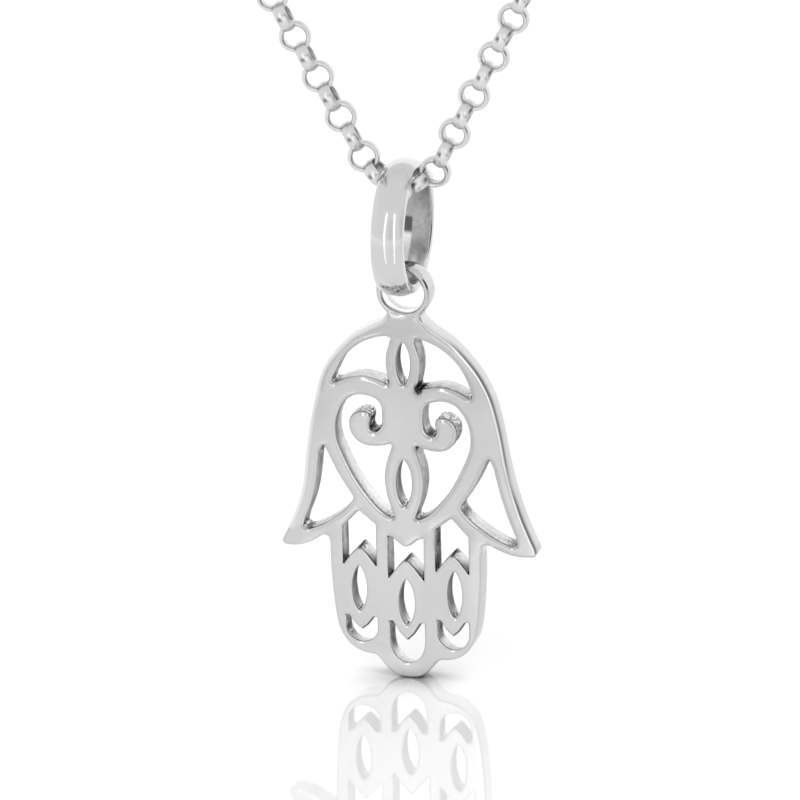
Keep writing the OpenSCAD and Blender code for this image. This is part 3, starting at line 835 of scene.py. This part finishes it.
def build_bail():
    """A ring about X: smooth dome outside, flat inside with eased edges."""
    w = BAIL_W / 2
    prof = []
    dome = 2.0
    for i in range(33):                       # domed outside, from one side to the other
        t = -1 + 2 * i / 32
        x = w * 0.965 * math.sin(t * math.pi / 2) / math.sin(math.pi / 2)
        prof.append((BAIL_R - dome + math.sqrt(dome * dome - x * x), x))
    low_r = prof[-1][0]
    for i in range(1, 5):                     # the edge of the dome rolled over
        q = math.pi / 2 * i / 4
        prof.append((low_r - 0.1 * (1 - math.cos(q)) - 0.05 * math.sin(q), w * 0.965 + w * 0.035 * math.sin(q)))
        prof.insert(0, (prof[-1][0], -prof[-1][1]))
    side_r = prof[-1][0]
    for i in range(1, 4):                     # right-hand side face
        prof.append((side_r + (BAIL_IN + 0.2 - side_r) * i / 4, w))
    for i in range(9):                        # eased inner edge
        a = math.pi / 2 * i / 8
        prof.append((BAIL_IN + 0.2 * (1 - math.sin(a)), w - 0.24 * (1 - math.cos(a))))
    n_in = 16
    for i in range(1, n_in):
        prof.append((BAIL_IN, (w - 0.24) * (1 - 2 * i / n_in)))
    for i in range(8, -1, -1):
        a = math.pi / 2 * i / 8
        prof.append((BAIL_IN + 0.2 * (1 - math.sin(a)), -w + 0.24 * (1 - math.cos(a))))
    for i in range(3, 0, -1):
        prof.append((side_r + (BAIL_IN + 0.2 - side_r) * i / 4, -w))
    prof = np.array(prof)
    m, n = len(prof), 180
    yaw = math.radians(BAIL_YAW)
    verts, faces, mats = [], [], []
    for k in range(n):
        a = 2 * math.pi * k / n
        x = prof[:, 1]
        y = prof[:, 0] * math.cos(a)
        z = prof[:, 0] * math.sin(a)
        verts.append(np.column_stack([x * math.cos(yaw) - y * math.sin(yaw) + BAIL_X,
                                      x * math.sin(yaw) + y * math.cos(yaw) + HANG_Y, z + BAIL_Z]))
    for k in range(n):
        for i in range(m):
            j = (i + 1) % m
            a, b = k * m, ((k + 1) % n) * m
            faces.append((a + i, a + j, b + j, b + i))
            mid = 0.5 * (prof[i] + prof[j])
            mats.append(1 if mid[0] < BAIL_IN + 0.06 else 0)
    ob = add_mesh("bail_ring", np.vstack(verts), faces, None, mats, (mat_bail, mat_bail_in))
    # inside, on the left of the back: a painted dark patch through shade and a painted light patch through nook, and
    # lower down all round a painted lighter band
    ang = np.repeat(2 * math.pi * np.arange(n) / n, m)
    rad, along = np.tile(prof[:, 0], n), np.tile(prof[:, 1], n)
    high = rad * np.sin(ang)
    back = (np.cos(ang) > 0) & (rad < BAIL_IN + 0.05)
    left = np.clip((-0.22 - along) / 0.08, 0, 1)

    def between(v, low, top, soft):
        return np.clip((v - low) / soft + 0.5, 0, 1) * np.clip((top - v) / soft + 0.5, 0, 1)

    point_attribute(ob, "shade", back * left * between(high, -1.68, -0.68, 0.14) * 0.85)
    point_attribute(ob, "nook", back * left * between(high, -3.3, -1.75, 0.25))
    point_attribute(ob, "painted_light", (rad < BAIL_IN + 0.05) * between(high, -3.9, -2.9, 0.6) * (0.55 + 0.3 * np.sin(9 * along)))
    return ob


bail = build_bail()
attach(bail, "bail")
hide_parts("bail")

# ---------------------------------------------------------------- the chain
HANG_BEND = [[0, -96, -125], [0.68, -96, -125], [1.18, -96, -124.91], [1.62, -96, -124.65], [1.95, -96, -124.25]]
STRAND_R = [[4.9, -96, -118.3], [8.2, -96, -111.7], [14.2, -96, -99.8], [21, -96, -86], [28.8, -95.2, -71]]
STRAND_L = [[5.3, -96, -118.3], [9, -96, -111.7], [15.5, -96, -99.8], [23.2, -96, -86], [30.8, -95.2, -71]]
SHOULDER_RUN = [
    [36.6, -92.4, -58], [43.2, -87, -46], [48.6, -79, -35.4], [52.4, -68.4, -26.4],
    [54, -56.4, -18.8], [53, -44, -12.6], [49.6, -32.4, -8], [43.8, -22.2, -4.6],
    [36, -13.6, -2.4], [26, -6.6, -1], [15.6, -2, -0.2], [5.05, 0, 0]]
LINK_R, LINK_T, LINK_W = 1.1, 0.36, 0.87      # outer radius, wall, width along the axis


def link_mesh(seg, fine):
    """One link about its own Z axis: domed outside, rounder inside, soft corners."""
    w, t = LINK_W / 2, LINK_T
    prof = []
    n_out = 9 if fine else 5
    for i in range(n_out):
        u = -1 + 2 * i / (n_out - 1)
        x = math.sin(u * math.pi / 2 * 0.9) / math.sin(math.pi / 2 * 0.9)
        prof.append((LINK_R - 0.15 * abs(x) ** 2.4, w * x))
    n_in = 8 if fine else 4
    for i in range(n_in + 1):
        u = 1 - 2 * i / n_in
        x = math.sin(u * math.pi / 2)
        prof.append((LINK_R - t + (t - 0.2) * max(0.0, (abs(x) - 0.7) / 0.3) ** 2, w * 0.985 * x))
    prof = np.array(prof)
    m = len(prof)
    verts = []
    for k in range(seg):
        a = 2 * math.pi * (k + 0.5) / seg
        verts.append(np.column_stack([prof[:, 0] * math.cos(a), prof[:, 0] * math.sin(a), prof[:, 1]]))
    faces = []
    for k in range(seg):
        for i in range(m):
            j = (i + 1) % m
            a, b = k * m, ((k + 1) % seg) * m
            faces.append((a + i, b + i, b + j, a + j))
    return np.vstack(verts), np.array(faces)


def route_side(side):
    strand = STRAND_R if side > 0 else STRAND_L
    run = smooth_rows([HANG_BEND[4]] + strand + SHOULDER_RUN, 24)
    p = np.vstack([smooth_rows(HANG_BEND, 12)[:-1], run])
    p[:, 0] *= side
    s = np.concatenate([[0], np.cumsum(np.linalg.norm(np.diff(p, axis=0), axis=1))])
    return p, s


def chain_places():
    """Centre, tangent and ring axis of every link, from the middle of the hang out to each end."""
    rng = np.random.default_rng(11)
    places = []
    # the three links at the bail, set one by one
    places.append((np.array([-0.47, -96.0, -125.07]), np.array([1.0, 0, 0.0]), np.array([0.05, -1.0, 0.1]), True))
    for side in (1, -1):
        p, s = route_side(side)
        first = np.array([2.246, -96, -123.66]) if side > 0 else np.array([-2.671, -96, -123.02])
        d = np.linalg.norm(p - first, axis=1)
        s0 = s[np.argmin(d)]
        pitch = 1.59 if side > 0 else 1.552
        room = s[-1] - 0.75 - s0
        # the visible stretch keeps its own pitch, the rest takes up the difference
        n_vis = 18
        rest = room - n_vis * pitch
        n_rest = int(round(rest / 1.57))
        steps = [pitch] * n_vis + [rest / n_rest] * n_rest
        pos = s0 + np.concatenate([[0], np.cumsum(steps)])
        c = np.column_stack([np.interp(pos, s, p[:, k]) for k in range(3)])
        ahead = np.column_stack([np.interp(pos + 0.4, s, p[:, k]) for k in range(3)])
        behind = np.column_stack([np.interp(pos - 0.4, s, p[:, k]) for k in range(3)])
        t = unit_rows(ahead - behind)
        # face-on links turn a little towards the right-hand side of the view
        want = np.array([0.0, -1.0, 0.0]) if side > 0 else np.array([0.17, -0.93, 0.25])
        n = want - t[0] * np.dot(want, t[0])
        n /= np.linalg.norm(n)
        for i in range(len(c)):
            n = n - t[i] * np.dot(n, t[i])
            n /= np.linalg.norm(n)
            axis = n if i % 2 == 0 else np.cross(t[i], n)
            a = math.radians(rng.normal(0, 2.2))
            b = math.radians(rng.normal(0, 2.0))
            other = np.cross(t[i], axis)
            ax = axis * math.cos(a) + other * math.sin(a)
            tt = t[i] * math.cos(b) + ax * math.sin(b)
            ax = ax * math.cos(b) - t[i] * math.sin(b)
            places.append((c[i], tt, ax, i < 20))
        if side > 0:
            places.append((np.array([1.0, -96.0, -124.35]), np.array([0.87, 0, 0.49]), np.array([0.46, 0.14, -0.84]), True))
        else:
            places.append((np.array([-1.72, -96.0, -124.08]), np.array([-0.72, 0, 0.69]), np.array([-0.68, -0.1, -0.72]), True))
    return places


def build_chain():
    """Two pieces, so that neither is heavy: the stretch in front, and the rest."""
    near_v, near_f = link_mesh(80, True)
    far_v, far_f = link_mesh(20, False)
    made = []
    for piece, close in (("chain_front", True), ("chain_rest", False)):
        verts, faces, shade, painted_light, count = [], [], [], [], 0
        base_v, base_f = (near_v, near_f) if close else (far_v, far_f)
        rad = np.hypot(base_v[:, 0], base_v[:, 1])
        inside = np.clip((LINK_R - LINK_T + 0.05 - rad) / 0.03, 0, 1)
        out_dir = np.column_stack([base_v[:, 0] / rad, base_v[:, 1] / rad, 0 * rad])
        across = base_v[:, 2] / (LINK_W / 2)
        for c, t, ax, near in chain_places():
            if near != close:
                continue
            z = ax / np.linalg.norm(ax)
            x = t - z * np.dot(t, z)
            x /= np.linalg.norm(x)
            turn = np.array([x, np.cross(z, x), z])
            verts.append(c + base_v @ turn)
            faces.append(base_f + count)
            count += len(base_v)
            edge_on = abs(z[1]) < 0.6
            # painted shade on the inside of each link, deeper on links seen edge-on, and a little over the whole link
            dark = (0.5 if edge_on else 0.15) * inside + (0.02 if edge_on else 0.04)
            light = 0.0 * inside
            if close and edge_on:
                # seen edge-on: painted dark and light specks across the band where it faces forward, standing in for
                # reflections
                lead = np.array([0.1, -0.965, 0.24])
                lead = lead - z * np.dot(lead, z)
                lead /= np.linalg.norm(lead)
                nd = out_dir @ turn
                lift = np.arcsin(np.clip(nd @ np.cross(z, lead), -1, 1)) + 10.0 * (nd @ lead < 0)
                u = across * (1 if z[0] > 0 else -1)
                outer = rad > LINK_R - 0.2
                painted_specks = 1.0 * np.exp(-((u + 0.42) / 0.3) ** 4 - ((lift - 0.1) / 0.15) ** 2)
                painted_specks += 0.8 * np.exp(-((u - 0.52) / 0.2) ** 2 - ((lift + 0.06) / 0.1) ** 2)
                dark = np.maximum(dark, np.clip(painted_specks, 0, 0.85) * outer)
                light = np.exp(-((u - 0.08) / 0.22) ** 2 - ((lift - 0.02) / 0.12) ** 2) * outer
            shade.append(dark)
            painted_light.append(light)
        ob = add_mesh(piece, np.vstack(verts), np.vstack(faces).tolist(), None, None, (mat_link,))
        point_attribute(ob, "shade", np.concatenate(shade))
        point_attribute(ob, "painted_light", np.concatenate(painted_light))
        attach(ob, "necklace")
        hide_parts("chain")
        made.append(ob)
    return made


build_chain()


# ---------------------------------------------------------------- the clasp
def build_clasp():
    """Turned barrel along X with domed ends and two grooves."""
    half = [
        [0.0, 0.0], [1.0, 1.6], [2.6, 1.6], [2.72, 1.57], [2.82, 1.46], [2.94, 1.4], [3.06, 1.46], [3.16, 1.57],
        [3.28, 1.6], [4.0, 1.59], [4.3, 1.52], [4.55, 1.38], [4.72, 1.18], [4.84, 0.95], [4.93, 0.7], [4.97, 0.45], [5.0, 0.0]]
    right = [[x, r] for x, r in half[1:]]
    prof = np.array([[-x, r] for x, r in right[::-1]] + [[0.16, 1.6]] * 0 + [[-0.1, 1.6], [-0.06, 1.55], [0.0, 1.53], [0.06, 1.55], [0.1, 1.6]] + right)
    m, n = len(prof), 64
    verts, faces = [], []
    for k in range(n):
        a = 2 * math.pi * k / n
        verts.append(np.column_stack([prof[:, 0], prof[:, 1] * math.cos(a), prof[:, 1] * math.sin(a)]))
    for k in range(n):
        a, b = k * m, ((k + 1) % n) * m
        for i in range(m - 1):
            faces.append((a + i, a + i + 1, b + i + 1, b + i))
    return add_mesh("clasp_barrel", np.vstack(verts), faces, None, None, (mat_clasp,))


clasp = build_clasp()
bm_ok = clasp.data.validate()
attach(clasp, "necklace")
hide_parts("clasp")


# ---------------------------------------------------------------- floor, light
PAINTED_SHADOW, PAINTED_LIFT = 0.94, 0.26


def add_floor():
    n = 96
    rings = [0, 60, 120, 180, 260, 400, 700, 1200, 2200, 5000, 12000]
    verts, faces = [[0, -60, FLOOR_Z]], []
    for r in rings[1:]:
        verts += [[r * math.cos(2 * math.pi * i / n), -60 + r * math.sin(2 * math.pi * i / n), FLOOR_Z] for i in range(n)]
    for i in range(n):
        faces.append((0, 1 + i, 1 + (i + 1) % n))
    for k in range(len(rings) - 2):
        a, b = 1 + k * n, 1 + (k + 1) * n
        for i in range(n):
            j = (i + 1) % n
            faces.append((a + i, b + i, b + j, a + j))
    m, nt, bsdf = new_material("studio_floor")
    geo = node(nt, "ShaderNodeNewGeometry")
    away = node(nt, "ShaderNodeVectorMath", operation="DISTANCE")
    away.inputs[1].default_value = (0, -0.096, FLOOR_Z * MM)
    nt.links.new(geo.outputs["Position"], away.inputs[0])
    # the floor's colour is painted lighter further out, where the overhead lamp gives less light
    tone = ramp_node(nt, away.outputs["Value"], [(0.1, 0.428), (0.3, 0.6), (0.9, 0.93)])
    # a painted shadow under the tip, shown only while something stands close over it, and the patch around it painted
    # lighter to hide the real shadow there
    near = node(nt, "ShaderNodeAmbientOcclusion", samples=3)
    near.inputs["Distance"].default_value = 0.006
    closed = math_node(nt, "MULTIPLY", math_node(nt, "SUBTRACT", 1.0, near.outputs["AO"]), 3.0)
    closed = math_node(nt, "MINIMUM", closed, 1.0)
    sep = node(nt, "ShaderNodeSeparateXYZ")
    nt.links.new(geo.outputs["Position"], sep.inputs[0])
    px_ = math_node(nt, "ADD", sep.outputs[0], 0.00004)
    py_ = math_node(nt, "ADD", sep.outputs[1], 0.0968)
    ca, sa = math.cos(math.radians(14.1)), math.sin(math.radians(14.1))

    def bump(su, sv, turned=True):
        c_, s_ = (ca, sa) if turned else (1.0, 0.0)
        u = math_node(nt, "ADD", math_node(nt, "MULTIPLY", px_, c_ / su), math_node(nt, "MULTIPLY", py_, s_ / su))
        v = math_node(nt, "ADD", math_node(nt, "MULTIPLY", px_, -s_ / sv), math_node(nt, "MULTIPLY", py_, c_ / sv))
        r2 = math_node(nt, "ADD", math_node(nt, "MULTIPLY", u, u), math_node(nt, "MULTIPLY", v, v))
        return math_node(nt, "POWER", math.e, math_node(nt, "MULTIPLY", r2, -1.0))

    spot = math_node(nt, "MULTIPLY", bump(0.0029, 0.0019), math_node(nt, "MULTIPLY", closed, PAINTED_SHADOW))
    wide = math_node(nt, "MULTIPLY", bump(0.0085, 0.005, False), PAINTED_LIFT)
    wide = math_node(nt, "ADD", wide, math_node(nt, "MULTIPLY", bump(0.03, 0.022, False), 0.07))
    keep = math_node(nt, "SUBTRACT", math_node(nt, "ADD", 1.0, wide), spot)
    toned = node(nt, "ShaderNodeMixRGB", blend_type="MULTIPLY")
    toned.inputs[0].default_value = 1.0
    nt.links.new(tone.outputs[0], toned.inputs[1])
    nt.links.new(keep, toned.inputs[2])
    nt.links.new(toned.outputs[0], bsdf.inputs["Base Color"])
    bsdf.inputs["Roughness"].default_value = 0.03
    bsdf.inputs["IOR"].default_value = 3.0
    ob = add_mesh("floor", verts, faces, None, None, (m,))
    return ob


add_floor()


def add_area(name, place, aim, size_x, size_y, radiance):
    data = bpy.data.lights.new(name, "AREA")
    data.shape = "RECTANGLE"
    data.size, data.size_y = size_x, size_y
    data.energy = radiance * math.pi * size_x * size_y
    ob = bpy.data.objects.new(name, data)
    scene.collection.objects.link(ob)
    ob.location = place
    d = Vector(aim) - Vector(place)
    ob.rotation_euler = d.to_track_quat("-Z", "Y").to_euler()
    return ob


CENTRE = Vector((0, -0.096, -0.14))
key = add_area("overhead", tuple(CENTRE + Vector((0, 0, 0.5))), CENTRE, 1.0, 1.0, 2.65)
key.visible_glossy = False
add_area("strip_left", tuple(CENTRE + Vector((-0.187, -0.73, 0.272))), CENTRE + Vector((0, 0, 0.02)), 0.055, 0.62, 2.4)
add_area("strip_right", tuple(CENTRE + Vector((0.30, -0.71, 0.272))), CENTRE + Vector((0, 0, 0.02)), 0.05, 0.62, 2.4)


def add_world():
    """A pale tent: even in front, a bright low backdrop behind, soft seams, and one dim gap at the right."""
    world = bpy.data.worlds.new("tent")
    scene.world = world
    world.use_nodes = True
    nt = world.node_tree
    nt.nodes.clear()
    out = nt.nodes.new("ShaderNodeOutputWorld")
    bg = nt.nodes.new("ShaderNodeBackground")
    nt.links.new(bg.outputs[0], out.inputs[0])
    co = nt.nodes.new("ShaderNodeTexCoord")
    sep = nt.nodes.new("ShaderNodeSeparateXYZ")
    nt.links.new(co.outputs["Generated"], sep.inputs[0])
    x, y, z = sep.outputs[0], sep.outputs[1], sep.outputs[2]
    ang = math_node(nt, "ARCTAN2", x, math_node(nt, "MULTIPLY", y, -1.0))
    turn = math_node(nt, "ADD", math_node(nt, "MULTIPLY", ang, 0.5 / math.pi), 0.5)
    half_z = math_node(nt, "ADD", math_node(nt, "MULTIPLY", z, 0.5), 0.5)
    half_y = math_node(nt, "ADD", math_node(nt, "MULTIPLY", y, 0.5), 0.5)

    def az(stops):
        return [((d + 180.0) / 360.0, v) for d, v in stops]

    def up(stops):
        return [(q * 0.5 + 0.5, v) for q, v in stops]

    seams = ramp_node(nt, turn, az([(-180, 1.06), (-75, 1.06), (-55, 1.0), (-14, 0.97), (1, 0.97), (4, 0.86), (15, 0.86), (19, 0.97),
                                    (42, 0.97), (47, 0.84), (54, 0.84), (56, 0.97), (60, 0.9), (66, 0.2), (72, 0.05),
                                    (101, 0.05), (108, 0.5), (114, 1.0), (130, 1.06), (180, 1.06)]))
    reach = ramp_node(nt, half_z, up([(-1, 1.0), (0.40, 1.0), (0.62, 0.0), (1, 0.0)]))
    reach.color_ramp.interpolation = "EASE"
    side = node(nt, "ShaderNodeMixRGB", blend_type="MIX")
    side.inputs[1].default_value = (1, 1, 1, 1)
    nt.links.new(reach.outputs[0], side.inputs[0])
    nt.links.new(seams.outputs[0], side.inputs[2])
    front = ramp_node(nt, half_z, up([(-1, 0.97), (0.5, 0.97), (0.9, 0.93), (1, 0.93)]))
    near = node(nt, "ShaderNodeMixRGB", blend_type="MULTIPLY")
    near.inputs[0].default_value = 1.0
    nt.links.new(front.outputs[0], near.inputs[1])
    nt.links.new(side.outputs[0], near.inputs[2])
    behind = ramp_node(nt, half_z, up([(-1, 1.0), (0.0, 1.0), (0.42, 1.0), (0.58, 0.72), (0.95, 0.72), (1, 0.72)]))
    behind.color_ramp.interpolation = "EASE"
    lift = node(nt, "ShaderNodeMixRGB", blend_type="MULTIPLY")
    lift.inputs[0].default_value = 1.0
    lift.inputs[2].default_value = (1.22, 1.22, 1.22, 1)
    nt.links.new(behind.outputs[0], lift.inputs[1])
    share = ramp_node(nt, half_y, up([(-1, 0.0), (0.12, 0.0), (0.5, 1.0), (1, 1.0)]))
    share.color_ramp.interpolation = "EASE"
    mix = node(nt, "ShaderNodeMixRGB", blend_type="MIX")
    nt.links.new(share.outputs[0], mix.inputs[0])
    nt.links.new(near.outputs[0], mix.inputs[1])
    nt.links.new(lift.outputs[0], mix.inputs[2])
    nt.links.new(mix.outputs[0], bg.inputs["Color"])


add_world()

scene.view_settings.view_transform = "Standard"
scene.view_settings.look = "None"
scene.view_settings.exposure = 0.0
scene.cycles.use_denoising = True
scene.cycles.max_bounces = 8
scene.cycles.glossy_bounces = 6
scene.cycles.diffuse_bounces = 3
